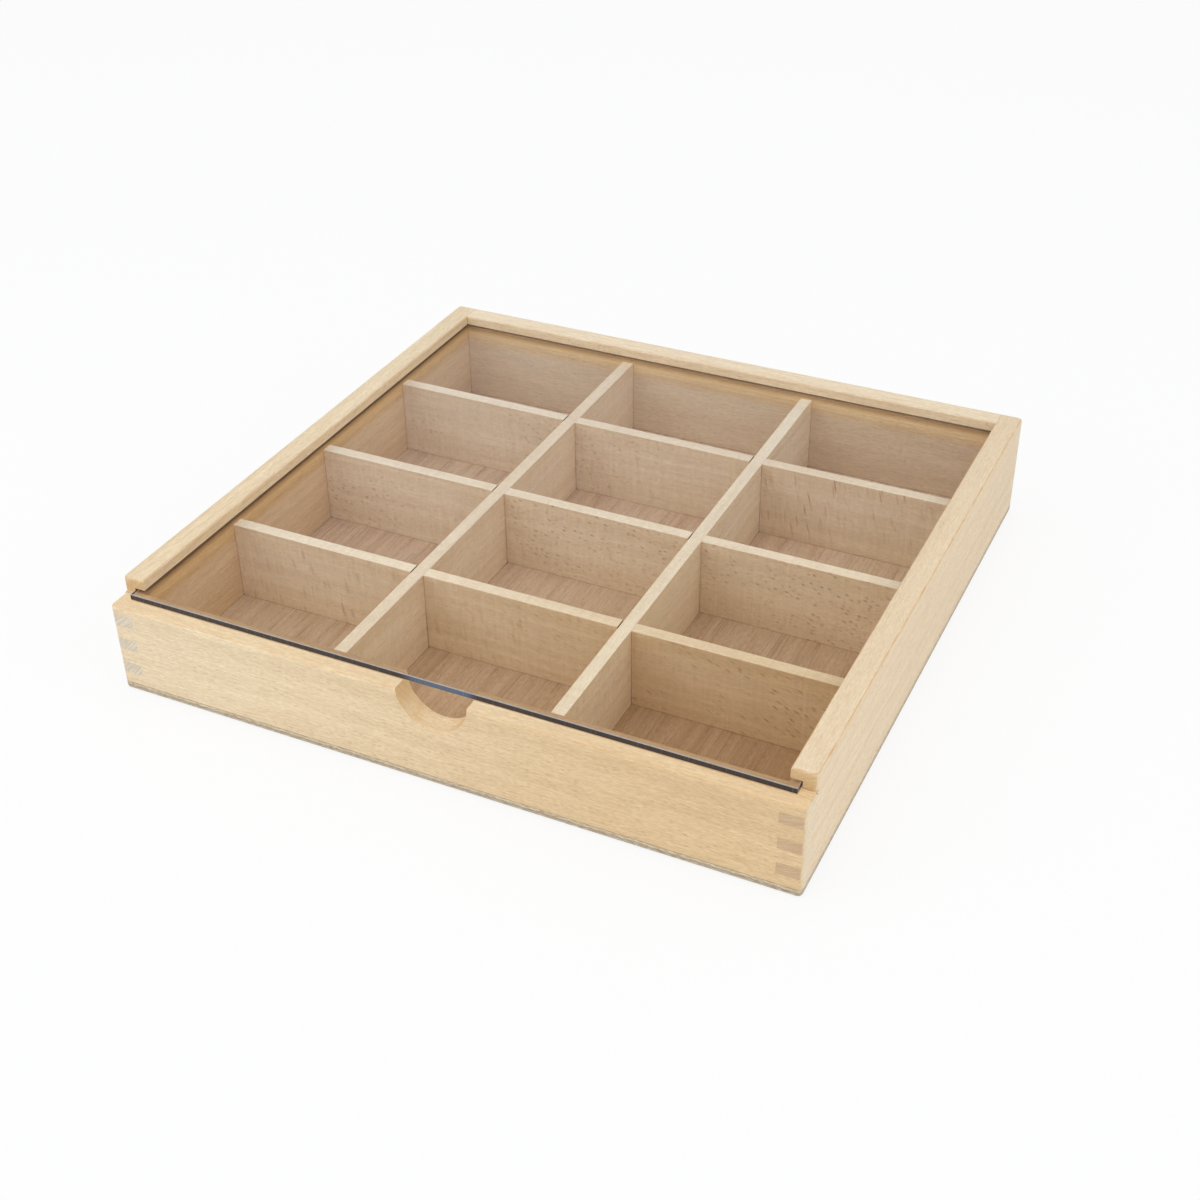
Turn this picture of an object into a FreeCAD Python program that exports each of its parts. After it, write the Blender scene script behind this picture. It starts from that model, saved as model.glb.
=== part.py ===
import FreeCAD, Part
import os

# A sorting box: finger-jointed beech walls on a plywood base, a grid of lapped dividers, and a clear
# sheet lid that slides out to the front over the lower front wall.
# Millimetres. The origin is the middle of the underside, with +X right, +Y back and +Z up.

# Walls and base
BOX_WIDTH = 320.0  # left to right, over the side walls
BOX_DEPTH = 311.0  # front to back, over the front and back walls
WALL_THICKNESS = 11.0
FRONT_HEIGHT = 40.7  # front wall, from the base panel to the lid's groove floor
LIP_HEIGHT = 4.8  # wood above the groove on the other three walls
BASE_THICKNESS = 4.0

# Finger joints at the four corners, counted down from the rim
FINGER_HEIGHT = 5.8  # fingers of the side walls
FINGER_PITCH = 12.65

# Sanded edges
CORNER_ROUND = 2.2  # upright corners
EDGE_ROUND = 1.4  # rim's outside, front wall's top and underside
RIM_EASE = 0.5  # bevel along the rim's inside

# Lid and its grooves
LID_THICKNESS = 3.0
LID_ARRIS = 0.6  # chamfer on the lid's edges
LID_SETBACK = 6.8  # closed lid's front edge, behind the box's front face
LID_PLAY = 0.5  # between the lid's sides and back and the bottom of the groove
LID_REST_GAP = 0.1  # under the lid
GROOVE_DEPTH = 5.0
GROOVE_PLAY = 0.5  # groove's height beyond the lid's thickness

# Finger scoop in the front wall
SCOOP_RADIUS = 16.5
SCOOP_EASE = 0.4  # bevel along the scoop's edges

# Divider grid
LONG_DIVIDERS = ("left", "right")
CROSS_DIVIDERS = ("front", "middle", "back")
DIVIDER_THICKNESS = 6.0
DIVIDER_DROP = 1.7  # divider tops below the groove floor
DIVIDER_EASE = 0.3  # rounding along the divider tops
MIDDLE_ROW_EXTRA = 4.8  # middle rows are this much deeper than the front and back rows
LAP_PLAY = 0.5  # slack in the slots where dividers cross

# Places that follow from the sizes
FRONT = -BOX_DEPTH / 2
BACK = BOX_DEPTH / 2
LEFT = -BOX_WIDTH / 2
INNER_FRONT = FRONT + WALL_THICKNESS
INNER_BACK = BACK - WALL_THICKNESS
INNER_LEFT = LEFT + WALL_THICKNESS
FRONT_TOP = BASE_THICKNESS + FRONT_HEIGHT
GROOVE_TOP = FRONT_TOP + LID_THICKNESS + GROOVE_PLAY
RIM = GROOVE_TOP + LIP_HEIGHT
DIVIDER_TOP = FRONT_TOP - DIVIDER_DROP
LAP_LEVEL = (BASE_THICKNESS + DIVIDER_TOP) / 2

TOUCH = 0.001  # how near an edge has to pass to a point to be picked by it


def block(low, high):
    """A box between its lowest and highest corners."""
    size = [b - a for a, b in zip(low, high)]
    return Part.makeBox(*size, FreeCAD.Vector(*low))


def edges_through(shape, points):
    """The edges of a shape that pass through any of the points."""
    spots = [Part.Vertex(*point) for point in points]
    return [edge for edge in shape.Edges if any(edge.distToShape(spot)[0] < TOUCH for spot in spots)]


def rounded(shape, radius, points):
    """Rounds the edges through the points, and those that run on smoothly from them."""
    return shape.makeFillet(radius, edges_through(shape, points))


def mirrored(shape):
    """The same shape on the other side of the box."""
    return shape.mirror(FreeCAD.Vector(0, 0, 0), FreeCAD.Vector(1, 0, 0))


def side_fingers(near, far):
    """The left wall's fingers in one corner, which lies between two places along Y."""
    fingers = []
    top = RIM
    while top - FINGER_HEIGHT > BASE_THICKNESS:
        fingers.append(block((LEFT, near, top - FINGER_HEIGHT), (INNER_LEFT, far, top)))
        top -= FINGER_PITCH
    return Part.makeCompound(fingers)


def lid_channel():
    """The space that the grooves give the lid, open to the front."""
    side = INNER_LEFT - GROOVE_DEPTH
    return block((side, FRONT, FRONT_TOP), (-side, INNER_BACK + GROOVE_DEPTH, GROOVE_TOP))


def rim_funnel():
    """The space above the opening, widening upwards to ease the rim's inside, open to the front."""
    side = INNER_LEFT - RIM_EASE
    back = INNER_BACK + RIM_EASE
    low = RIM - RIM_EASE
    space = block((side, FRONT, low), (-side, back, RIM + RIM_EASE))
    return space.makeChamfer(RIM_EASE, edges_through(space, [(side, 0, low), (-side, 0, low), (0, back, low)]))


def left_wall():
    """A wall whose lip is cut back at the front, where the lid comes out."""
    body = block((LEFT, FRONT, BASE_THICKNESS), (INNER_LEFT, BACK, FRONT_TOP))
    body = rounded(body, CORNER_ROUND, [(LEFT, y, (BASE_THICKNESS + FRONT_TOP) / 2) for y in (FRONT, BACK)])
    lip = block((LEFT, INNER_FRONT, FRONT_TOP), (INNER_LEFT, BACK, RIM))
    lip = rounded(lip, CORNER_ROUND, [(LEFT, y, (FRONT_TOP + RIM) / 2) for y in (INNER_FRONT, BACK)])
    lip = rounded(lip, EDGE_ROUND, [(LEFT, 0, RIM)])
    wall = body.fuse(lip)
    for near, far in ((FRONT, INNER_FRONT), (INNER_BACK, BACK)):
        corner = block((LEFT, near, BASE_THICKNESS), (INNER_LEFT, far, RIM))
        wall = wall.cut(corner.cut(side_fingers(near, far)))
    return wall.cut(lid_channel()).cut(rim_funnel())


def end_wall(near, far, face, top):
    """A plain front or back board between two places along Y, rounded where it faces outwards."""
    board = block((LEFT, near, BASE_THICKNESS), (-LEFT, far, top))
    return rounded(board, CORNER_ROUND, [(x, face, (BASE_THICKNESS + top) / 2) for x in (LEFT, -LEFT)])


def jointed(wall, near, far):
    """A front or back wall with the side walls' fingers cut out of its ends."""
    fingers = side_fingers(near, far)
    return wall.cut(fingers).cut(mirrored(fingers))


def scoop():
    """The finger scoop's space, flaring at both faces of the wall to ease its edges."""
    wide = SCOOP_RADIUS + SCOOP_EASE
    through = FreeCAD.Vector(0, 1, 0)
    outside = FreeCAD.Vector(0, FRONT, FRONT_TOP)
    inside = FreeCAD.Vector(0, INNER_FRONT - SCOOP_EASE, FRONT_TOP)
    space = Part.makeCylinder(SCOOP_RADIUS, WALL_THICKNESS, outside, through)
    space = space.fuse(Part.makeCone(wide, SCOOP_RADIUS, SCOOP_EASE, outside, through))
    return space.fuse(Part.makeCone(SCOOP_RADIUS, wide, SCOOP_EASE, inside, through))


def front_wall():
    """The low wall, with a half-round scoop that lets a finger push the lid."""
    wall = end_wall(FRONT, INNER_FRONT, FRONT, FRONT_TOP)
    wall = rounded(wall, EDGE_ROUND, [(0, FRONT, FRONT_TOP)])
    return jointed(wall.cut(scoop()), FRONT, INNER_FRONT)


def back_wall():
    """The full-height wall that stops the lid."""
    wall = end_wall(INNER_BACK, BACK, BACK, RIM)
    wall = rounded(wall, EDGE_ROUND, [(0, BACK, RIM)])
    return jointed(wall, INNER_BACK, BACK).cut(lid_channel()).cut(rim_funnel())


def base_panel():
    """The plywood sheet under the walls, flush with them all round."""
    panel = block((LEFT, FRONT, 0), (-LEFT, BACK, BASE_THICKNESS))
    corners = [(x, y, BASE_THICKNESS / 2) for x in (LEFT, -LEFT) for y in (FRONT, BACK)]
    return rounded(rounded(panel, CORNER_ROUND, corners), EDGE_ROUND, [(0, FRONT, 0)])


def column_places():
    """Where the long dividers stand along X, for columns of equal width."""
    count = len(LONG_DIVIDERS)
    column = (-2 * INNER_LEFT - count * DIVIDER_THICKNESS) / (count + 1)
    return [INNER_LEFT + (i + 1) * column + (i + 0.5) * DIVIDER_THICKNESS for i in range(count)]


def row_places():
    """Where the cross dividers stand along Y, for middle rows a little deeper than the end rows."""
    count = len(CROSS_DIVIDERS)
    wood = count * DIVIDER_THICKNESS + (count - 1) * MIDDLE_ROW_EXTRA
    end_row = (INNER_BACK - INNER_FRONT - wood) / (count + 1)
    pitch = end_row + MIDDLE_ROW_EXTRA + DIVIDER_THICKNESS
    return [(i - (count - 1) / 2) * pitch for i in range(count)]


def long_divider(x):
    """A strip from the front wall to the back wall, slotted from below at each cross divider."""
    left = x - DIVIDER_THICKNESS / 2
    right = x + DIVIDER_THICKNESS / 2
    strip = block((left, INNER_FRONT, BASE_THICKNESS), (right, INNER_BACK, DIVIDER_TOP))
    strip = rounded(strip, DIVIDER_EASE, [(side, 0, DIVIDER_TOP) for side in (left, right)])
    half_slot = (DIVIDER_THICKNESS + LAP_PLAY) / 2
    for y in row_places():
        strip = strip.cut(block((left, y - half_slot, BASE_THICKNESS), (right, y + half_slot, LAP_LEVEL)))
    return strip


def cross_divider(y):
    """A strip from side to side, slotted from above at each long divider, with the slack on its left."""
    near = y - DIVIDER_THICKNESS / 2
    far = y + DIVIDER_THICKNESS / 2
    strip = block((INNER_LEFT, near, BASE_THICKNESS), (-INNER_LEFT, far, DIVIDER_TOP))
    strip = rounded(strip, DIVIDER_EASE, [(0, face, DIVIDER_TOP) for face in (near, far)])
    for x in column_places():
        slot_left = x - DIVIDER_THICKNESS / 2 - LAP_PLAY
        slot_right = x + DIVIDER_THICKNESS / 2
        strip = strip.cut(block((slot_left, near, LAP_LEVEL - LAP_PLAY), (slot_right, far, DIVIDER_TOP)))
    return strip


def sliding_lid():
    """The clear sheet, closed, with all its edges eased."""
    side = INNER_LEFT - GROOVE_DEPTH + LID_PLAY
    under = FRONT_TOP + LID_REST_GAP
    back = INNER_BACK + GROOVE_DEPTH - LID_PLAY
    sheet = block((side, FRONT + LID_SETBACK, under), (-side, back, under + LID_THICKNESS))
    outline = [edge for edge in sheet.Edges if edge.BoundBox.ZLength < TOUCH]
    return sheet.makeChamfer(LID_ARRIS, outline)


def all_pieces():
    """Every piece by its name, in its place."""
    left = left_wall()
    pieces = {
        "front_wall": front_wall(),
        "back_wall": back_wall(),
        "left_wall": left,
        "right_wall": mirrored(left),
        "base_panel": base_panel(),
        "sliding_lid": sliding_lid(),
    }
    for name, x in zip(LONG_DIVIDERS, column_places()):
        pieces["long_divider_" + name] = long_divider(x)
    for name, y in zip(CROSS_DIVIDERS, row_places()):
        pieces["cross_divider_" + name] = cross_divider(y)
    return pieces


os.makedirs("parts", exist_ok=True)
for name, shape in all_pieces().items():
    piece = shape.removeSplitter().Solids[0]
    piece.exportStep("parts/" + name + ".step")
    print(name, "valid" if piece.isValid() else "NOT VALID", round(piece.Volume / 1000, 2), "cm3")
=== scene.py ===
# %% [markdown]
# # A beech sorting box with a clear sliding lid
# The frame holds every board of the box at its real size, and this lesson gives those boards their finish.
# Only the lid is modelled again: a clear sheet shows its own edges, and those need faces of their own.
# Everything is in metres, with the origin in the middle of the underside and the front facing -Y.

# %% Load the frame
import math

import bpy
from mathutils import Matrix, Vector


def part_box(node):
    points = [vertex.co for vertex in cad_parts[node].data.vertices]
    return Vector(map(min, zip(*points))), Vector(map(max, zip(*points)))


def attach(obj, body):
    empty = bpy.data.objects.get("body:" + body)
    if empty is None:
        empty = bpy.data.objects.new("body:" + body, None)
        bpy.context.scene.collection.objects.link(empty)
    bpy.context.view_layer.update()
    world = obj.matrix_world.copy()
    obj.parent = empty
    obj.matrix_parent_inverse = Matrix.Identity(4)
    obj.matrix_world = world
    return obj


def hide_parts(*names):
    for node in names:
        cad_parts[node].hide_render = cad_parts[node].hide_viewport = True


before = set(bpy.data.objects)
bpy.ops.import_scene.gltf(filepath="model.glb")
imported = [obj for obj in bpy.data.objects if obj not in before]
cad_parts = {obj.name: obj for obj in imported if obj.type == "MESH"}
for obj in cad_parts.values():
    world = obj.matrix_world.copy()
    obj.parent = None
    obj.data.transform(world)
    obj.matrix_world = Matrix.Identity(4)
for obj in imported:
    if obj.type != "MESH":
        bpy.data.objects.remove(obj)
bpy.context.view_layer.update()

MM = 0.001

# %% [markdown]
# ## Helpers for colours and materials
# Colours are written as sRGB hex values, as a paint chart gives them, but shaders work in linear light,
# so one function turns the first into the second. A second function adds a shader node with its settings
# and links, and a third starts an empty material. The recipes below then read as lists of nodes.
# Some nodes have several sockets of one name, and those are given by number. On a Mix node 0 is the share,
# 2 and 3 are values with their result at 0, and 6 and 7 are colours with theirs at 2.

# %% Colour and node helpers
def linear(hex_colour):
    """Linear RGBA from an sRGB hex value."""
    channels = [int(hex_colour[i:i + 2], 16) / 255 for i in (1, 3, 5)]
    return (*(c / 12.92 if c <= 0.04045 else ((c + 0.055) / 1.055) ** 2.4 for c in channels), 1.0)


def add_node(tree, kind, inputs, stops=(), **options):
    """Adds a node with its options, inputs (by name or number) and links, and gives a ramp its stops."""
    made = tree.nodes.new("ShaderNode" + kind)
    for name, value in options.items():
        setattr(made, name, value)
    for name, value in inputs.items():
        if isinstance(value, bpy.types.NodeSocket):
            tree.links.new(value, made.inputs[name])
        else:
            made.inputs[name].default_value = value
    if stops:
        elements = made.color_ramp.elements
        for _ in stops[2:]:
            elements.new(1.0)
        for element, (place, hex_colour) in zip(elements, stops):
            element.position = place
            element.color = linear(hex_colour)
    return made.outputs


def new_material(name):
    """An empty material with its node tree."""
    material = bpy.data.materials.new(name)
    material.use_nodes = True
    material.node_tree.nodes.clear()
    return material, material.node_tree


print("mid grey in linear light:", round(linear("#808080")[0], 3))

# %% [markdown]
# ## The lid
# The real lid is a 3 mm acrylic sheet, sawn to size. Its faces are clear and its sawn edges look dark,
# because light runs along inside the sheet. Where edges meet faces, a scraper has left a thin frosted arris.
# A plain block with one finish would be quicker, but it would show neither the dark edges nor the pale lines.
# A block of the sheet's size, with the outlines of both faces bevelled, has all three kinds of face.

# %% Add a block of the lid's size
lid_low, lid_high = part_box("sliding_lid")
bpy.ops.object.select_all(action="DESELECT")
bpy.ops.mesh.primitive_cube_add(size=1, location=(lid_low + lid_high) / 2, scale=lid_high - lid_low)
lid = bpy.context.object
lid.name = "clear_lid"
bpy.ops.object.transform_apply(location=True, rotation=True, scale=True)
print("lid, mm:", [round(side / MM, 1) for side in lid.dimensions])

# %% Bevel the outlines of its two faces
ARRIS = 0.35 * MM
FLAT = 0.99  # a normal with at least this part along one axis belongs to a face square to it

bpy.ops.object.mode_set(mode="EDIT")
bpy.ops.mesh.select_mode(type="FACE")
bpy.ops.mesh.select_all(action="DESELECT")
bpy.ops.object.mode_set(mode="OBJECT")
for face in lid.data.polygons:
    face.select = abs(face.normal.z) > FLAT
bpy.ops.object.mode_set(mode="EDIT")
bpy.ops.mesh.region_to_loop()
bpy.ops.mesh.bevel(offset=ARRIS, offset_type="OFFSET", segments=1, affect="EDGES")
bpy.ops.object.mode_set(mode="OBJECT")
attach(lid, "lid")
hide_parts("sliding_lid")
print("lid faces:", len(lid.data.polygons))

# %% [markdown]
# ## Acrylic
# Cast acrylic bends light a little less than window glass. A pane could be left to bend all light, but then
# the wood below would be lit only by chance and look grainy. So light on its way to the wood goes straight
# through, and what the eye sees still bends and mirrors.

# %% Light through the sheet
WHITE = "#FFFFFF"


def let_light_through(tree, surface):
    """Ends a material with the surface as it is seen, clear to light on its way to the wood."""
    path = add_node(tree, "LightPath", {})
    lighting = add_node(tree, "Math", {
        0: path["Is Shadow Ray"], 1: path["Is Diffuse Ray"]}, operation="MAXIMUM")[0]
    passing = add_node(tree, "BsdfTransparent", {"Color": linear(WHITE)})
    mixed = add_node(tree, "MixShader", {0: lighting, 1: surface, 2: passing[0]})
    add_node(tree, "OutputMaterial", {"Surface": mixed[0]})


# %% [markdown]
# ## Clear faces
# The faces keep the polish that the sheet had from the factory. They could be perfectly flat, but then what
# they mirror would be as straight as in a looking-glass. No real sheet is that flat, so a slow noise swells
# this one.

# %% Clear faces
ACRYLIC_IOR = 1.49
SWELL = 71.4 * MM  # from one swell of the sheet to the next
SWELL_HEIGHT = 0.4 * MM


def clear_acrylic():
    """Cast sheet with its factory polish: clear, with a faint mirror image that wavers a little."""
    material, tree = new_material("clear_cast_acrylic")
    where = add_node(tree, "TexCoord", {})["Object"]
    swell = add_node(tree, "TexNoise", {"Vector": where, "Scale": 1 / SWELL, "Detail": 1.0})
    warp = add_node(tree, "Bump", {"Height": swell["Fac"], "Strength": 1.0, "Distance": SWELL_HEIGHT})
    sheet = add_node(tree, "BsdfPrincipled", {
        "Base Color": linear("#FDFDFC"), "Roughness": 0.0, "IOR": ACRYLIC_IOR, "Transmission Weight": 1.0,
        "Normal": warp[0]})
    let_light_through(tree, sheet[0])
    return material


lid.data.materials.append(clear_acrylic())
print("lid finishes:", len(lid.data.materials))

# %% [markdown]
# ## Dark edges
# Seen from the side, the sheet looks dark, because little of the light that runs along inside it comes out
# there. A sheet that soaks up light could show that, but it would be slow and grainy to render. A dark edge
# with fine saw marks and a cool shine looks the same from a step away.

# %% Dark edges
SAW_MARK = (1.111 * MM, 1.111 * MM, 16.67 * MM)  # narrow, and straight up the edge
OVER_SCOOP = 13 * MM  # from the middle, where the scoop is wide open
PAST_SCOOP = 17 * MM  # from the middle, where the wood begins
EDGE_IOR = 1.6  # above acrylic's own, for the strong shine of a flamed edge


def acrylic_edge():
    """Sawn and flamed edge: dark inside, with a cool shine, paler where the scoop lets daylight in."""
    material, tree = new_material("flamed_acrylic_edge")
    where = add_node(tree, "TexCoord", {})["Object"]
    marks = add_node(tree, "Mapping", {"Vector": where, "Scale": SAW_MARK}, vector_type="TEXTURE")[0]
    saw = add_node(tree, "TexNoise", {"Vector": marks, "Scale": 1.0, "Detail": 2.0})["Fac"]
    dark = add_node(tree, "Mix", {0: saw, 6: linear("#322B29"), 7: linear("#4E4340")}, data_type="RGBA")[2]
    across = add_node(tree, "SeparateXYZ", {0: where})["X"]
    from_middle = add_node(tree, "Math", {0: across}, operation="ABSOLUTE")[0]
    open_below = add_node(tree, "MapRange", {
        "Value": from_middle, "From Min": PAST_SCOOP, "From Max": OVER_SCOOP})[0]
    tone = add_node(tree, "Mix", {0: open_below, 6: dark, 7: linear("#5E6573")}, data_type="RGBA")[2]
    gloss = add_node(tree, "MapRange", {"Value": saw, "To Min": 0.15, "To Max": 0.35})[0]
    edge = add_node(tree, "BsdfPrincipled", {
        "Base Color": tone, "Roughness": gloss, "IOR": EDGE_IOR, "Specular Tint": linear("#A8C4F0")})
    let_light_through(tree, edge[0])
    return material


lid.data.materials.append(acrylic_edge())
print("lid finishes:", len(lid.data.materials))

# %% [markdown]
# ## Frosted arrises
# A scraper drawn along a sawn edge takes off the sharp corner and leaves it frosted. A cloudy clear material
# could be used, but on a line this thin only the pale tone reaches the eye, so a matt pale grey is enough.

# %% Frosted arrises
SCRAPE = 1.429 * MM  # from one scrape to the next


def acrylic_arris():
    """Scraped arris: frosted, so it catches light as a thin pale line."""
    material, tree = new_material("scraped_acrylic_arris")
    where = add_node(tree, "TexCoord", {})["Object"]
    scrape = add_node(tree, "TexNoise", {"Vector": where, "Scale": 1 / SCRAPE, "Detail": 2.0})["Fac"]
    tone = add_node(tree, "Mix", {0: scrape, 6: linear("#948B84"), 7: linear("#BAB2AA")}, data_type="RGBA")[2]
    arris = add_node(tree, "BsdfPrincipled", {"Base Color": tone, "Roughness": 0.4, "IOR": ACRYLIC_IOR})
    let_light_through(tree, arris[0])
    return material


lid.data.materials.append(acrylic_arris())
print("lid finishes:", len(lid.data.materials))

# %% Give each kind of face its finish
CLEAR, EDGE, FROSTED = range(3)  # in the order in which they were added

for face in lid.data.polygons:
    longest = max(abs(part) for part in face.normal)
    face.material_index = FROSTED if longest < FLAT else CLEAR if abs(face.normal.z) > FLAT else EDGE
used = [face.material_index for face in lid.data.polygons]
print("clear, dark and frosted faces:", [used.count(finish) for finish in (CLEAR, EDGE, FROSTED)])

# %% [markdown]
# ## Beech
# Beech is a pale, even wood. Its growth rings show as faint long bands, its fibres as hair lines, and its
# rays as small brown flecks whose shape depends on how the board was sawn. Across the grain it looks greyer.
# A photo of wood could be wrapped round each board, but its grain would break at the edges. So the recipe is
# a solid log in millimetres, with its first axis along the grain, and every board is cut from it at another
# place and angle. The figure then runs on from face to face, as it does in a real board.

# %% Tones and figure
DARKER = (0.74, 0.64, 0.54, 1.0)  # factors for red, green and blue in the darkest marks
PALER = (1.26, 1.36, 1.46, 1.0)  # and in the palest ones
DARK_TONE = 0.7  # the brightness that gives DARKER
PALE_TONE = 1.3  # and the one that gives PALER


def tinted(tree, tone, colour):
    """The colour at a brightness around 1: wood gets redder as it gets darker."""
    share = add_node(tree, "MapRange", {"Value": tone, "From Min": DARK_TONE, "From Max": PALE_TONE})[0]
    tint = add_node(tree, "Mix", {0: share, 6: DARKER, 7: PALER}, data_type="RGBA")[2]
    return add_node(tree, "VectorMath", {0: colour, 1: tint}, operation="MULTIPLY")[0]


def figure(tree, where, size_mm, depth, tone=1.0):
    """The tone, made to waver in marks of the given size."""
    marks = add_node(tree, "Mapping", {"Vector": where, "Scale": size_mm}, vector_type="TEXTURE")[0]
    noise = add_node(tree, "TexNoise", {
        "Vector": marks, "Scale": 1.0, "Detail": 2.0, "Roughness": 0.55})["Fac"]
    # Nearly all of the noise lies between 0.3 and 0.7.
    waver = add_node(tree, "MapRange", {
        "Value": noise, "From Min": 0.3, "From Max": 0.7, "To Min": 1 - depth, "To Max": 1 + depth * 0.8})[0]
    return add_node(tree, "Math", {0: tone, 1: waver}, operation="MULTIPLY")[0]


# %% [markdown]
# ## Where a point lies
# A finish has to know where in the tree a point of the board grew, where in the box it is now, and which way
# its face lies. Maps unwrapped by hand could tell, but the Object coordinates and the normal already do. One
# Mapping node turns those coordinates into millimetres of log, and a slow noise makes the grain wander.

# %% Places in the log and in the box
WAVE_MM = (60, 25, 25)  # how slowly the grain wanders
WANDER_MM = (4, 7, 7)  # how far it wanders


def measure_board(tree, grain, sawn, place):
    """What a board's finish goes by: places in the log and in the box, and how each face lies."""
    where = add_node(tree, "TexCoord", {})
    box = add_node(tree, "SeparateXYZ", {0: where["Object"]})
    turn = (math.radians(sawn), 0, 0) if grain == "X" else (0, math.radians(sawn), -math.pi / 2)
    log = add_node(tree, "Mapping", {
        "Vector": where["Object"], "Location": place, "Rotation": turn, "Scale": (1 / MM,) * 3})[0]
    slow = add_node(tree, "Mapping", {"Vector": log, "Scale": WAVE_MM}, vector_type="TEXTURE")[0]
    wave = add_node(tree, "TexNoise", {"Vector": slow, "Scale": 1.0, "Detail": 1.0})
    wavy = add_node(tree, "VectorMath", {0: wave["Color"], 1: WANDER_MM, 2: log}, operation="MULTIPLY_ADD")[0]
    # A normal's part along an axis is 1 on a face square to the axis and 0 on a face along it.
    facing = add_node(tree, "SeparateXYZ", {0: where["Normal"]})
    level = add_node(tree, "Math", {0: facing["Z"]}, operation="ABSOLUTE")[0]
    upright = add_node(tree, "MapRange", {"Value": level, "From Min": 0.9, "From Max": 0.4})[0]
    lengthwise = add_node(tree, "Math", {0: facing[grain]}, operation="ABSOLUTE")[0]
    endwise = add_node(tree, "MapRange", {"Value": lengthwise, "From Min": 0.6, "From Max": 0.95},
                       interpolation_type="SMOOTHSTEP")[0]
    return {"object": where["Object"], "along": box[grain], "height": box["Z"], "log": log, "wavy": wavy,
            "wave": wave["Fac"], "level": level, "upright": upright, "endwise": endwise}


# %% [markdown]
# ## Ray flecks
# Rays run from the heart of the tree to its bark. Where the saw cuts them they show as short brown flecks,
# which are dashes, spots or streaks by the angle of the cut. Drawing them one by one would take hundreds of
# strokes. A cell pattern puts a lens into some of its cells instead, and the slow noise gathers them.

# %% Ray flecks
RAY = "#A9784A"


def flecks(tree, wood, fleck):
    """How dark each ray is: a lens in some cells of the wood, in loose clusters."""
    tilt = (0, math.radians(fleck["tilt"]), 0)
    cells = add_node(tree, "Mapping", {"Vector": wood["wavy"], "Rotation": tilt, "Scale": fleck["size_mm"]},
                     vector_type="TEXTURE")[0]
    cell = add_node(tree, "TexVoronoi", {"Vector": cells, "Scale": 1.0})
    chance = add_node(tree, "SeparateColor", {0: cell["Color"]})["Red"]
    # A lens is full near its cell's middle and gone half a cell away. Only cells of low chance get one.
    lens = add_node(tree, "MapRange", {"Value": cell["Distance"], "From Min": 0.5, "From Max": 0.1})[0]
    picked = add_node(tree, "MapRange", {
        "Value": chance, "From Min": fleck["share"], "From Max": fleck["share"] * 0.4,
        "To Max": fleck["depth"]})[0]
    cluster = add_node(tree, "MapRange", {
        "Value": wood["wave"], "From Min": 0.36, "From Max": 0.58, "To Min": 0.3})[0]
    dark = add_node(tree, "Math", {0: lens, 1: picked}, operation="MULTIPLY")[0]
    return add_node(tree, "Math", {0: dark, 1: cluster}, operation="MULTIPLY")[0]


# %% [markdown]
# ## Painted shade in corners, and painted shade and reflection beside the lid
# The corners of the real box show thin dark lines of shade, and of glue in the joints, and here that shade is
# painted into the wood's colour. Its wood looks golden just below the lips, where the real lid mirrors wood
# and not the pale studio, and brown against the lid, where shade falls. The lid made here doesn't give enough
# of that, so a painted reflection and painted shade stand in for it. Painting both by hand would need a
# picture for every board. Nearness to other surfaces and height in the box say where they belong, so two
# small recipes read those.

# %% Painted shade in corners
# The brown of the painted shade in corners and of glued joints.
CORNER_SHADE = "#C4A88C"
CORNER_SHADE_REACH = 0.9 * MM


def corner_shade_and_glue(tree, unshaded, share):
    """The colour, darkened by painted shade where another surface comes close, and by glue in the joints."""
    # AO is the open share of what lies around a point, so it is low in corners.
    corner = add_node(tree, "AmbientOcclusion", {"Distance": CORNER_SHADE_REACH}, samples=4)["AO"]
    shade_share = add_node(tree, "MapRange", {
        "Value": corner, "From Min": 0.75, "From Max": 0.35, "To Max": share})[0]
    shaded_colour = add_node(tree, "VectorMath", {0: unshaded, 1: linear(CORNER_SHADE)[:3]}, operation="MULTIPLY")[0]
    return add_node(tree, "Mix", {0: shade_share, 6: unshaded, 7: shaded_colour}, data_type="RGBA")[2]


# %% Painted shade and reflection beside the lid
LIP_UNDERSIDE = lid_high.z + 0.4 * MM  # the groove's play over the lid
INSIDE_X = lid_high.x + 1.5 * MM  # past the side grooves and short of the outer faces
INSIDE_Y = lid_high.y + 1.0 * MM  # past the back groove and short of the outer faces
BELOW_LIP = 0.95  # above the groove's floor and below its top


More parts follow.
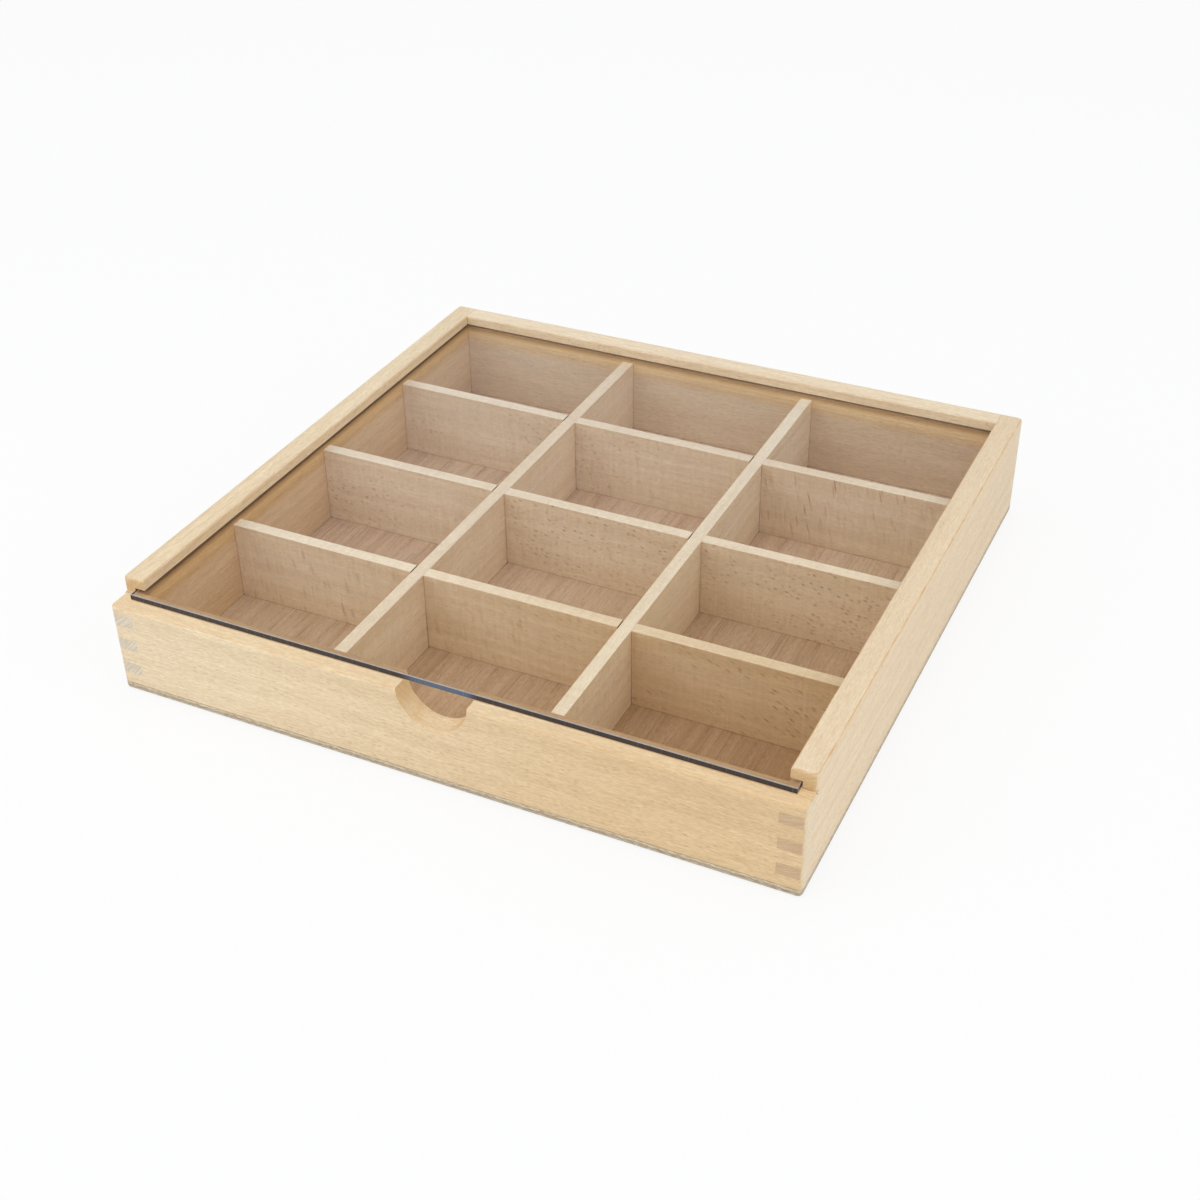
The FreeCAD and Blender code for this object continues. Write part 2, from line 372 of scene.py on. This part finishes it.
def lid_shade_and_reflection(tree, wood, inside):
    """Painted tints inside: faint low down, a golden reflection beside the lid, and shade against it."""
    low, beside, against, groove_shade = inside
    # Heights are shares of the way up to the lips' underside.
    height = add_node(tree, "MapRange", {"Value": wood["height"], "From Max": LIP_UNDERSIDE})[0]
    sides = add_node(tree, "ValToRGB", {0: height}, stops=(
        (0.705, low), (0.768, beside), (0.85, beside), (0.923, against), (0.99, against),
        (1.0, WHITE)))["Color"]
    # Level faces below the lip take the painted shade of the groove's floor.
    below_lip = add_node(tree, "Math", {0: height, 1: BELOW_LIP}, operation="LESS_THAN")[0]
    shelf = add_node(tree, "Mix", {0: below_lip, 6: linear(WHITE), 7: linear(groove_shade)}, data_type="RGBA")[2]
    faces = add_node(tree, "Mix", {0: wood["upright"], 6: shelf, 7: sides}, data_type="RGBA")[2]
    from_middle = add_node(tree, "VectorMath", {0: wood["object"]}, operation="ABSOLUTE")[0]
    away = add_node(tree, "SeparateXYZ", {0: from_middle})
    in_width = add_node(tree, "Math", {0: away["X"], 1: INSIDE_X}, operation="LESS_THAN")[0]
    in_depth = add_node(tree, "Math", {0: away["Y"], 1: INSIDE_Y}, operation="LESS_THAN")[0]
    within = add_node(tree, "Math", {0: in_width, 1: in_depth}, operation="MULTIPLY")[0]
    return add_node(tree, "Mix", {0: within, 6: linear(WHITE), 7: faces}, data_type="RGBA")[2]


# %% [markdown]
# ## Sanded beech
# A board shows three kinds of surface: long grain on its faces, a worn line along its rounded edges, and end
# grain where it was sawn across. Each could be a material of its own, but then hard borders would show on the
# rounded edges. So the three are made one after the other, and the way a face lies blends between them.

# %% Long grain
DRIFT_REACH = 140 * MM  # from the middle to where the colour of an end is reached


def long_grain(tree, wood, tone, ends, kind, rays):
    """A slow drift of colour along the board, with its figure, and then the rays on its upright faces."""
    drift = add_node(tree, "MapRange", {
        "Value": wood["along"], "From Min": -DRIFT_REACH, "From Max": DRIFT_REACH},
        interpolation_type="SMOOTHSTEP")[0]
    on_top = add_node(tree, "MapRange", {"Value": wood["upright"], "To Min": kind["top"], "To Max": 0.0})[0]
    golden = add_node(tree, "Math", {0: drift, 1: on_top}, operation="MAXIMUM")[0]
    ground = add_node(tree, "Mix", {0: golden, 6: linear(ends[0]), 7: linear(ends[1])}, data_type="RGBA")[2]
    # Beside the lid the wood takes a painted reflection and painted shade.
    tint = lid_shade_and_reflection(tree, wood, kind["inside"])
    with_lid_shade = add_node(tree, "VectorMath", {0: ground, 1: tint}, operation="MULTIPLY")[0]
    near, far = (flecks(tree, wood, fleck) for fleck in rays)
    ray = add_node(tree, "Mix", {0: drift, 2: near, 3: far})[0]
    on_sides = add_node(tree, "Math", {0: ray, 1: wood["upright"]}, operation="MULTIPLY")[0]
    plain = tinted(tree, tone, with_lid_shade)
    return add_node(tree, "Mix", {0: on_sides, 6: plain, 7: linear(RAY)}, data_type="RGBA")[2]


# %% Worn edges
WORN = "#D6A56A"
PATCH_MM = (9, 4, 4)  # how far the line goes on before it fades


def worn_edges(tree, wood, sides, depth):
    """A patchy golden line along the rounded edges."""
    # A rounded edge lies between upright, where "level" is 0, and flat, where it is 1.
    rounded = add_node(tree, "ValToRGB", {0: wood["level"]}, stops=(
        (0.5, "#000000"), (0.78, WHITE), (0.98, "#000000")))["Color"]
    line = add_node(tree, "Math", {0: rounded, 1: depth}, operation="MULTIPLY")[0]
    patchy = figure(tree, wood["log"], PATCH_MM, 0.9, line)
    return add_node(tree, "Mix", {0: patchy, 6: sides, 7: linear(WORN)}, data_type="RGBA")[2]


# %% End grain
MILLED = "#DAB98A"
SCOOP_REACH = 30 * MM  # from the middle: the scoop lies within it
LIP_REACH = 150 * MM  # from the middle: the lips' ends lie within it
front_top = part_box("front_wall")[1].z
BELOW_LIPS = front_top - 0.7 * MM  # up to here only the scoop is milled
ABOVE_FRONT = front_top + 1.3 * MM  # from here on the lips' ends are
RING_MM = (40, 14, 0.8)  # growth rings cut across
SAW_MM = (0.9, 0.9, 0.9)  # the saw's fine roughness


def end_grain(tree, wood, kind):
    """Ring lines over a greyer ground, and brown where the scoop and the lips' ends were milled."""
    from_middle = add_node(tree, "Math", {0: wood["along"]}, operation="ABSOLUTE")[0]
    reach = add_node(tree, "MapRange", {
        "Value": wood["height"], "From Min": BELOW_LIPS, "From Max": ABOVE_FRONT,
        "To Min": SCOOP_REACH, "To Max": LIP_REACH})[0]
    milled = add_node(tree, "Math", {0: from_middle, 1: reach}, operation="LESS_THAN")[0]
    ground = add_node(tree, "Mix", {
        0: milled, 6: linear(kind["end"]), 7: linear(MILLED)}, data_type="RGBA")[2]
    rings = figure(tree, wood["wavy"], RING_MM, kind["rings"])
    rough = figure(tree, wood["log"], SAW_MM, 0.06, rings)
    return tinted(tree, rough, ground)


# %% The whole board
BAND_MM = (180, 16, 3.2)  # growth rings cut lengthwise
LINE_MM = (10, 0.9, 0.9)  # bundles of fibres
PLANING_MM = (1.1, 25, 25)  # cross lines that a planing machine leaves
FIBRE_MM = (2.6, 0.42, 0.42)  # real fibres are far finer: this is as fine as the picture can show
FIBRE_RELIEF = 0.15 * MM
WOOD_IOR = 1.45


def beech(name, grain, sawn, place, ends, kind, rays):
    """Sanded and oiled beech: matt, with faint bands, hair lines, ray flecks and greyer end grain."""
    material, tree = new_material("sanded_beech_" + name)
    wood = measure_board(tree, grain, sawn, place)
    fibres = figure(tree, wood["log"], FIBRE_MM, kind["fibres"])
    bands = figure(tree, wood["wavy"], BAND_MM, kind["bands"], fibres)
    lines = figure(tree, wood["log"], LINE_MM, kind["lines"], bands)
    tone = figure(tree, wood["log"], PLANING_MM, kind["planing"], lines)
    plain_sides = long_grain(tree, wood, tone, ends, kind, rays)
    sides = worn_edges(tree, wood, plain_sides, kind["edge"])
    cut_ends = end_grain(tree, wood, kind)
    sanded = add_node(tree, "Mix", {0: wood["endwise"], 6: sides, 7: cut_ends}, data_type="RGBA")[2]
    # Level faces get a little less of the painted corner shade than upright ones.
    corner_shade_share = add_node(tree, "MapRange", {"Value": wood["upright"], "To Min": 0.75})[0]
    # Dark marks are a little rougher than pale ones.
    sheen = add_node(tree, "MapRange", {
        "Value": tone, "From Min": 0.8, "From Max": 1.2, "To Min": 0.6, "To Max": 0.45})[0]
    relief = add_node(tree, "Bump", {"Height": fibres, "Strength": 0.1, "Distance": FIBRE_RELIEF})[0]
    surface = add_node(tree, "BsdfPrincipled", {
        "Base Color": corner_shade_and_glue(tree, sanded, corner_shade_share), "Roughness": sheen, "IOR": WOOD_IOR, "Normal": relief})
    add_node(tree, "OutputMaterial", {"Surface": surface[0]})
    return material


# %% [markdown]
# ## The nine boards
# No two boards of the real box match, because they come from different parts of the tree. A material could be
# drawn for each by hand, but one recipe with other depths for its marks makes them differ as they do there:
# the walls are finely lined, and the dividers flecked. A board's two colours are those of its two ends, left
# and right or front and back.

# %% Ray flecks by how the board was sawn
FAINT = {"size_mm": (3.0, 0.9, 0.9), "tilt": 4, "share": 0.3, "depth": 0.35}
SPOTS = {"size_mm": (2.8, 2.2, 1.3), "tilt": 15, "share": 0.4, "depth": 0.65}
DASHES = {"size_mm": (4.2, 2.2, 1.3), "tilt": 28, "share": 0.35, "depth": 0.7}
GOLDEN = {"size_mm": (2.5, 4.0, 14.0), "tilt": -8, "share": 0.35, "depth": 0.4}
STREAKS = {"size_mm": (1.2, 3.0, 11.0), "tilt": -12, "share": 0.3, "depth": 0.75}
print("longest fleck, mm:", max(GOLDEN["size_mm"]))

# %% Kinds of board
# Most numbers say how deep a mark is. "top" is how far level faces go towards the second end's colour, "end"
# is the end grain, and "inside" holds painted tints for low down, a reflection beside the lid, shade against
# it, and shade on the groove's floor.
WALL = {"bands": 0.05, "lines": 0.03, "fibres": 0.1, "planing": 0.0, "edge": 0.4, "rings": 0.08, "top": 0.0,
        "end": "#E6D5B8", "inside": (WHITE, WHITE, WHITE, WHITE)}
FRONT_WALL = {**WALL, "bands": 0.06, "lines": 0.07, "fibres": 0.12, "top": 0.65}
BACK_WALL = {**WALL, "bands": 0.07, "lines": 0.07, "inside": ("#F8F8F8", "#FAF0DA", "#C1A686", WHITE)}
LEFT_WALL = {**WALL, "bands": 0.07, "lines": 0.07, "rings": 0.14, "end": "#DED1BB",
             "inside": ("#F9F3EA", "#F2E1C0", "#B89E7A", "#C0B8BC")}
RIGHT_WALL = {**WALL, "lines": 0.05, "edge": 0.7, "rings": 0.12, "end": "#D1B38E",
              "inside": ("#F8F8F8", "#FAF0DA", "#C1A686", WHITE)}
DIVIDER = {**WALL, "bands": 0.06, "fibres": 0.09, "planing": 0.04, "edge": 0.0, "end": "#CDB48C",
           "inside": ("#FAFAFA", "#F8F5F0", "#F2EADC", WHITE)}
print("a kind of board sets:", ", ".join(WALL))

# %% Cut the boards from the log
# Each row: the axis along the grain, the sawing angle in degrees, the place in the log in mm, the colours of
# the two ends, the kind of board, and the flecks at the two ends.
boards = {
    "front_wall": ("X", 62, (0, 0, 0), ("#EFDAB7", "#E7C99C"), FRONT_WALL, (FAINT, FAINT)),
    "back_wall": ("X", 75, (310, 40, 20), ("#F0DEC0", "#EEDBBC"), BACK_WALL, (FAINT, FAINT)),
    "left_wall": ("Y", 45, (720, 15, 70), ("#EAD3AF", "#EBD7B6"), LEFT_WALL, (FAINT, FAINT)),
    "right_wall": ("Y", 15, (150, 80, 110), ("#ECD6B4", "#E7D1B0"), RIGHT_WALL, (FAINT, FAINT)),
    "long_divider_left": ("Y", 20, (40, 5, 33), ("#F2DEC0", "#F2DFC2"), DIVIDER, (FAINT, FAINT)),
    "long_divider_right": ("Y", 25, (480, 55, 90), ("#F4E0C0", "#F6E6CB"), DIVIDER, (FAINT, SPOTS)),
    "cross_divider_front": ("X", 15, (560, 25, 60), ("#FCEBCF", "#EDD2AA"), DIVIDER, (GOLDEN, DASHES)),
    "cross_divider_middle": ("X", 10, (90, 75, 45), ("#FAEAD0", "#F5E1C2"), DIVIDER, (SPOTS, SPOTS)),
    "cross_divider_back": ("X", 5, (900, 65, 15), ("#F6E6CC", "#F3E0C3"), DIVIDER, (SPOTS, STREAKS)),
}


def dress(node, material):
    """Gives a piece of the frame its one finish."""
    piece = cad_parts[node]
    piece.data.materials.clear()
    piece.data.materials.append(material)
    print(node, "is", material.name, "with", len(material.node_tree.nodes), "nodes")


for node, recipe in boards.items():
    dress(node, beech(node, *recipe))

# %% [markdown]
# ## Plywood base
# The base is thin plywood. Inside the box its face veneer shows as the compartments' floors, browner than the
# beech, with streaks from front to back. On the outside only its edge shows: three plies under a dark line of
# glue. The plies could be thin solids of their own, but colour by height gives the same edge with one sheet.

# %% Face veneer
VENEER = ("#B38D62", "#D8BDA0")  # front right and back left
VENEER_SLANT = (-0.6, 1.0, 0.0)  # towards the back left
VENEER_REACH = (-190.0, 0.0)  # mm along the slant, from the first colour to the second
VESSEL = "#8C6642"
VESSEL_MM = (0.9, 30, 6)  # real vessels are finer: this is as fine as the picture can show
STREAK_MM = (3.5, 60, 6)  # paler and darker streaks, from front to back


def veneer(tree, sheet, pores):
    """The tone and colour of sanded veneer, paler towards the back left, with streaks and dark vessels."""
    slant = add_node(tree, "VectorMath", {0: sheet, 1: VENEER_SLANT}, operation="DOT_PRODUCT")["Value"]
    drift = add_node(tree, "MapRange", {
        "Value": slant, "From Min": VENEER_REACH[0], "From Max": VENEER_REACH[1]})[0]
    ground = add_node(tree, "Mix", {
        0: drift, 6: linear(VENEER[0]), 7: linear(VENEER[1])}, data_type="RGBA")[2]
    marks = add_node(tree, "Mapping", {"Vector": sheet, "Scale": VESSEL_MM}, vector_type="TEXTURE")[0]
    vessels = add_node(tree, "TexNoise", {"Vector": marks, "Scale": 1.0, "Detail": 1.0})["Fac"]
    vessel = add_node(tree, "MapRange", {
        "Value": vessels, "From Min": 0.55, "From Max": 0.75, "To Max": 0.4})[0]
    lined = add_node(tree, "Mix", {0: vessel, 6: ground, 7: linear(VESSEL)}, data_type="RGBA")[2]
    tone = figure(tree, sheet, STREAK_MM, 0.11, pores)
    return tone, tinted(tree, tone, lined)


# %% Sawn edge
base_low, base_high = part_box("base_panel")
PLIES = ((0.0, "#BDB09C"), (0.36, "#C9BCA6"), (0.44, "#B5A58C"), (0.6, "#BBAA8F"), (0.68, "#D3C4AB"),
         (0.88, "#D6C6AC"), (1.0, "#A08A6C"))
SPLINTER_MM = (2.5, 2.5, 0.5)  # what the saw tears out of a ply


def ply_edge(tree, where, sheet):
    """The plies by height, roughened by the saw."""
    place = add_node(tree, "SeparateXYZ", {0: where})["Z"]
    height = add_node(tree, "MapRange", {"Value": place, "From Min": base_low.z, "From Max": base_high.z})[0]
    plies = add_node(tree, "ValToRGB", {0: height}, stops=PLIES)["Color"]
    return tinted(tree, figure(tree, sheet, SPLINTER_MM, 0.35), plies)


# %% The whole sheet
PORE_MM = (0.45, 3, 2)  # real pores are finer: this is as fine as the picture can show
PORE_RELIEF = 0.15 * MM


def plywood():
    """Sanded plywood: matt, with streaked veneer on both faces and three plies on the edge."""
    material, tree = new_material("sanded_plywood")
    where = add_node(tree, "TexCoord", {})
    sheet = add_node(tree, "Mapping", {"Vector": where["Object"], "Scale": (1 / MM,) * 3})[0]
    pores = figure(tree, sheet, PORE_MM, 0.15)
    tone, on_face = veneer(tree, sheet, pores)
    on_edge = ply_edge(tree, where["Object"], sheet)
    facing = add_node(tree, "SeparateXYZ", {0: where["Normal"]})["Z"]
    level = add_node(tree, "Math", {0: facing}, operation="ABSOLUTE")[0]
    face = add_node(tree, "MapRange", {"Value": level, "From Min": 0.8, "From Max": 0.97})[0]
    unshaded = add_node(tree, "Mix", {0: face, 6: on_edge, 7: on_face}, data_type="RGBA")[2]
    sheen = add_node(tree, "MapRange", {
        "Value": tone, "From Min": 0.8, "From Max": 1.2, "To Min": 0.68, "To Max": 0.55})[0]
    relief = add_node(tree, "Bump", {"Height": pores, "Strength": 0.3, "Distance": PORE_RELIEF})[0]
    # The floors take the full painted shade in their corners, along with the glue in the joints.
    surface = add_node(tree, "BsdfPrincipled", {
        "Base Color": corner_shade_and_glue(tree, unshaded, 1.0), "Roughness": sheen, "IOR": WOOD_IOR, "Normal": relief})
    add_node(tree, "OutputMaterial", {"Surface": surface[0]})
    return material


dress("base_panel", plywood())

# %% [markdown]
# ## Studio floor and world
# The photo shows the box on pure white. More light would do that, but it would wash out the wood. A white
# paper floor that glows a little, only to the eye, stays white and still keeps the box's soft shadow. The
# world behind it works the same way: white where it is seen, and softer where it lights the box.

# %% Floor
FLOOR_SIZE = 8.0
FLOOR_DROP = 0.2 * MM  # below the box, so that the two never share a plane
FLOOR_GLOW = 0.85

bpy.ops.object.select_all(action="DESELECT")
bpy.ops.mesh.primitive_plane_add(size=FLOOR_SIZE, location=(0, 0, -FLOOR_DROP))
floor = bpy.context.object
floor.name = "studio_floor"


def seen_directly(tree):
    """1 for rays that show a background: from the camera, off gloss or through glass."""
    path = add_node(tree, "LightPath", {})
    straight = add_node(tree, "Math", {
        0: path["Is Camera Ray"], 1: path["Is Transmission Ray"]}, operation="MAXIMUM")[0]
    return add_node(tree, "Math", {0: straight, 1: path["Is Glossy Ray"]}, operation="MAXIMUM")[0]


material, tree = new_material("white_paper_floor")
paper = add_node(tree, "BsdfDiffuse", {"Color": linear("#F2F2F2")})
glow = add_node(tree, "Emission", {"Color": linear(WHITE), "Strength": 1.0})
share = add_node(tree, "Math", {0: seen_directly(tree), 1: FLOOR_GLOW}, operation="MULTIPLY")
surface = add_node(tree, "MixShader", {0: share[0], 1: paper[0], 2: glow[0]})
add_node(tree, "OutputMaterial", {"Surface": surface[0]})
floor.data.materials.append(material)
print("floor glow:", FLOOR_GLOW)

# %% World
DOME_LIGHT = 0.72

world = bpy.data.worlds.new("white_studio")
bpy.context.scene.world = world
world.use_nodes = True
tree = world.node_tree
tree.nodes.clear()
strength = add_node(tree, "Mix", {0: seen_directly(tree), 2: DOME_LIGHT, 3: 1.0})
white = add_node(tree, "Background", {"Color": linear(WHITE), "Strength": strength[0]})
add_node(tree, "OutputWorld", {"Surface": white[0]})
print("dome light:", DOME_LIGHT)

# %% [markdown]
# ## Grey card
# A clear lid mirrors whatever stands behind it, and a white studio would fog it. Turning its mirror image off
# would leave it dead, so a dark card stands there, as in a photo studio. The card is hidden from the camera,
# lights nothing and casts no shadow. It glows with painted shades in place of studio light falling on it, and
# these give the faint bluish haze that the real lid has.

# %% Card
CARD_SIZE = 3.2
CARD_PLACE = (-0.9, 1.2, 1.7)
CARD_SLANT = (-0.28, 0.0, -0.72)  # the way the card gets paler
CARD_REACH = (-0.8, 0.2)  # where along it the shades begin and end
CARD_SHADES = ((0.0, "#202028"), (0.145, "#202028"), (0.165, "#000000"), (0.21, "#00000C"), (0.31, "#1C1C59"),
               (1.0, "#DCDCE9"))

bpy.ops.object.select_all(action="DESELECT")
bpy.ops.mesh.primitive_plane_add(size=CARD_SIZE, location=CARD_PLACE, rotation=(math.pi / 2, 0, 0))
bpy.ops.object.transform_apply(location=True, rotation=True, scale=True)
card = bpy.context.object
card.name = "grey_card"
for ray in ("camera", "diffuse", "shadow"):
    setattr(card, "visible_" + ray, False)
material, tree = new_material("grey_card")
where = add_node(tree, "TexCoord", {})["Object"]
slant = add_node(tree, "VectorMath", {0: where, 1: CARD_SLANT}, operation="DOT_PRODUCT")["Value"]
lit = add_node(tree, "MapRange", {"Value": slant, "From Min": CARD_REACH[0], "From Max": CARD_REACH[1]})[0]
shade = add_node(tree, "ValToRGB", {0: lit}, stops=CARD_SHADES)["Color"]
# The card glows with its painted shades; it is no lamp.
glow = add_node(tree, "Emission", {"Color": shade, "Strength": 1.0})
add_node(tree, "OutputMaterial", {"Surface": glow[0]})
card.data.materials.append(material)
print("card shades:", len(CARD_SHADES))

# %% [markdown]
# ## Lamps
# The photo's light is soft and comes from all round. A large cool lamp hangs above, another stands at the
# front left, and a weaker one on the right keeps that wall bright. Small lamps would draw hard shadows in the
# compartments, so all three are large squares, like a photographer's softboxes.

# %% Softboxes
LOOK_AT = (0, 0, 0.03)


def softbox(name, place, size, watts, tint):
    """A square area lamp that looks at the box."""
    lamp = bpy.data.lights.new(name, "AREA")
    lamp.energy = watts
    lamp.color = linear(tint)[:3]
    lamp.size = size
    holder = bpy.data.objects.new(name, lamp)
    holder.location = place
    holder.rotation_euler = (Vector(LOOK_AT) - Vector(place)).to_track_quat("-Z", "Y").to_euler()
    bpy.context.scene.collection.objects.link(holder)
    print(name, watts, "W")


softbox("top", place=(-0.2, -0.2, 1.5), size=1.2, watts=5.2, tint="#F2F8FF")
softbox("key_left", place=(-0.9, -1.1, 0.9), size=0.9, watts=3.8, tint=WHITE)
softbox("fill_right", place=(1.3, -0.2, 0.7), size=0.9, watts=3, tint=WHITE)

# %% [markdown]
# ## Camera
# The camera stands where the photographer's did, at the front right and above. Its place, turn and lens were
# fitted to corners of the box in the photo, which is surer than moving a camera by eye until the two pictures
# agree. The roll is small: the photo leans by less than a degree.

# %% Camera
FRAME_PIXELS = 1200
FOCAL_PIXELS = 1750.6
SENSOR_MM = 36
CAMERA_PLACE_MM = (304.5, -623.9, 475.2)
CAMERA_AZIMUTH = 25.96
CAMERA_ELEVATION = 34.665
CAMERA_ROLL = -0.843

camera = bpy.data.cameras.new("photo_camera")
camera.sensor_width = SENSOR_MM
camera.lens = FOCAL_PIXELS / FRAME_PIXELS * SENSOR_MM
holder = bpy.data.objects.new("photo_camera", camera)
holder.matrix_world = (
    Matrix.Translation(Vector(CAMERA_PLACE_MM) * MM)
    @ Matrix.Rotation(math.radians(CAMERA_AZIMUTH), 4, "Z")
    @ Matrix.Rotation(math.radians(90 - CAMERA_ELEVATION), 4, "X")
    @ Matrix.Rotation(math.radians(CAMERA_ROLL), 4, "Z"))
bpy.context.scene.collection.objects.link(holder)
bpy.context.scene.camera = holder
bpy.context.scene.view_settings.view_transform = "Standard"
print("lens, mm:", round(camera.lens, 1))
